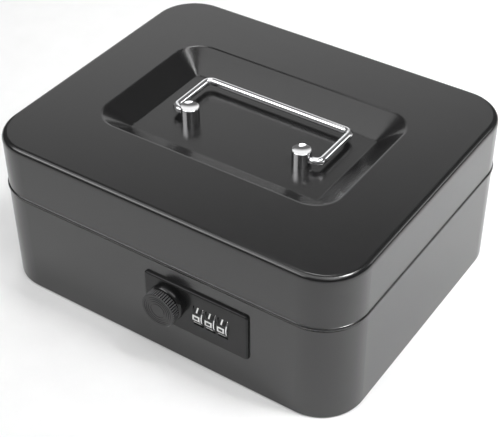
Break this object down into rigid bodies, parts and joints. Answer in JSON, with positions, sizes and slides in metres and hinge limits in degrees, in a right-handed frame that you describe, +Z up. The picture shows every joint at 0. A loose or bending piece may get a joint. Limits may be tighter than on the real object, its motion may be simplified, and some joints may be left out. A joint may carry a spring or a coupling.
{
  "type": "cash box",
  "caption": "Black steel cash box with a folding wire handle in a recessed lid, a combination dial lock with a turning knob, and a lift-out coin tray.",
  "frame": {"origin": "centre of the flat underside of the case", "axes": "+X along the length, to the right seen from the lock side; +Y from the lock side to the hinge side; +Z up"},
  "size_m": [0.2012, 0.1733, 0.0851],
  "materials": {
    "case_paint": "satin black powder coat",
    "lid_paint": "satin black powder coat",
    "chrome": "bright chrome",
    "zinc": "zinc plated",
    "spring_steel": "bright spring steel",
    "hinge_steel": "black coated steel",
    "rivet_paint": "black coated steel",
    "lock_plastic": "fine matt black moulding",
    "knob_plastic": "gloss black moulding",
    "case_plastic": "black moulding",
    "dial_plastic": "black moulding with white digits",
    "bright_metal": "bright plated",
    "lever_plastic": "grey moulding",
    "tray_plastic": "black moulding with a fine grain"
  },
  "bodies": {
    "base": {"body_shell": "case_paint", "hinge_body_rivets": "rivet_paint", "hinge_left_body_leaf": "hinge_steel", "hinge_right_body_leaf": "hinge_steel", "hinge_left_pin": "zinc", "hinge_right_pin": "zinc", "lock_plate": "lock_plastic", "knob_collar": "knob_plastic", "lock_case": "case_plastic", "lock_cover": "case_plastic", "lock_case_screws": "zinc", "lock_cover_screws": "zinc", "latch_spring": "spring_steel", "dial_shaft": "zinc", "detent_spring": "spring_steel", "tray_support_left": "case_paint", "tray_support_right": "case_paint"},
    "lid": {"lid_shell": "lid_paint", "handle_post_left": "chrome", "handle_post_right": "chrome", "handle_post_screws": "zinc", "handle_post_washers": "zinc", "hinge_lid_rivets": "rivet_paint", "hinge_left_lid_leaf": "hinge_steel", "hinge_right_lid_leaf": "hinge_steel", "lid_strike": "zinc"},
    "handle": {"bail_handle": "chrome"},
    "knob": {"combination_knob": "knob_plastic", "knob_spindle": "zinc", "spindle_clip": "zinc", "knob_cam": "zinc"},
    "latch": {"latch_bolt": "zinc"},
    "tray": {"coin_tray": "tray_plastic"},
    "reset": {"reset_lever": "lever_plastic"},
    "dial_1": {"dial_wheel_1": "dial_plastic", "dial_hub_1": "bright_metal"},
    "dial_2": {"dial_wheel_2": "dial_plastic", "dial_hub_2": "bright_metal"},
    "dial_3": {"dial_wheel_3": "dial_plastic", "dial_hub_3": "bright_metal"}
  },
  "joints": [
    {"name": "lid_hinge", "type": "hinge", "parent": "base", "child": "lid", "pos_m": [0, 0.0816, 0.0547], "axis": [-1, 0, 0], "range_deg": [0, 100]},
    {"name": "handle_swing", "type": "hinge", "parent": "lid", "child": "handle", "pos_m": [0, -0.0061, 0.0801], "axis": [1, 0, 0], "range_deg": [0, 165]},
    {"name": "knob_turn", "type": "hinge", "parent": "base", "child": "knob", "pos_m": [0.008, -0.0812, 0.034], "axis": [0, 1, 0], "range_deg": [0, 90]},
    {"name": "latch_slide", "type": "slide", "parent": "base", "child": "latch", "axis": [1, 0, 0], "range_m": [0, 0.005]},
    {"name": "tray_lift", "type": "slide", "parent": "base", "child": "tray", "axis": [0, 0, 1], "range_m": [0, 0.008]},
    {"name": "reset_slide", "type": "slide", "parent": "base", "child": "reset", "axis": [1, 0, 0], "range_m": [0, 0.003]},
    {"name": "dial_1_turn", "type": "hinge", "parent": "base", "child": "dial_1", "pos_m": [0.026, -0.0769, 0.034], "axis": [1, 0, 0], "continuous": true},
    {"name": "dial_2_turn", "type": "hinge", "parent": "base", "child": "dial_2", "pos_m": [0.0328, -0.0769, 0.034], "axis": [1, 0, 0], "continuous": true},
    {"name": "dial_3_turn", "type": "hinge", "parent": "base", "child": "dial_3", "pos_m": [0.0396, -0.0769, 0.034], "axis": [1, 0, 0], "continuous": true}
  ],
  "couplings": [
    {"joint": "knob_turn", "follows": "latch_slide", "rad_per_m": 314.16}
  ]
}
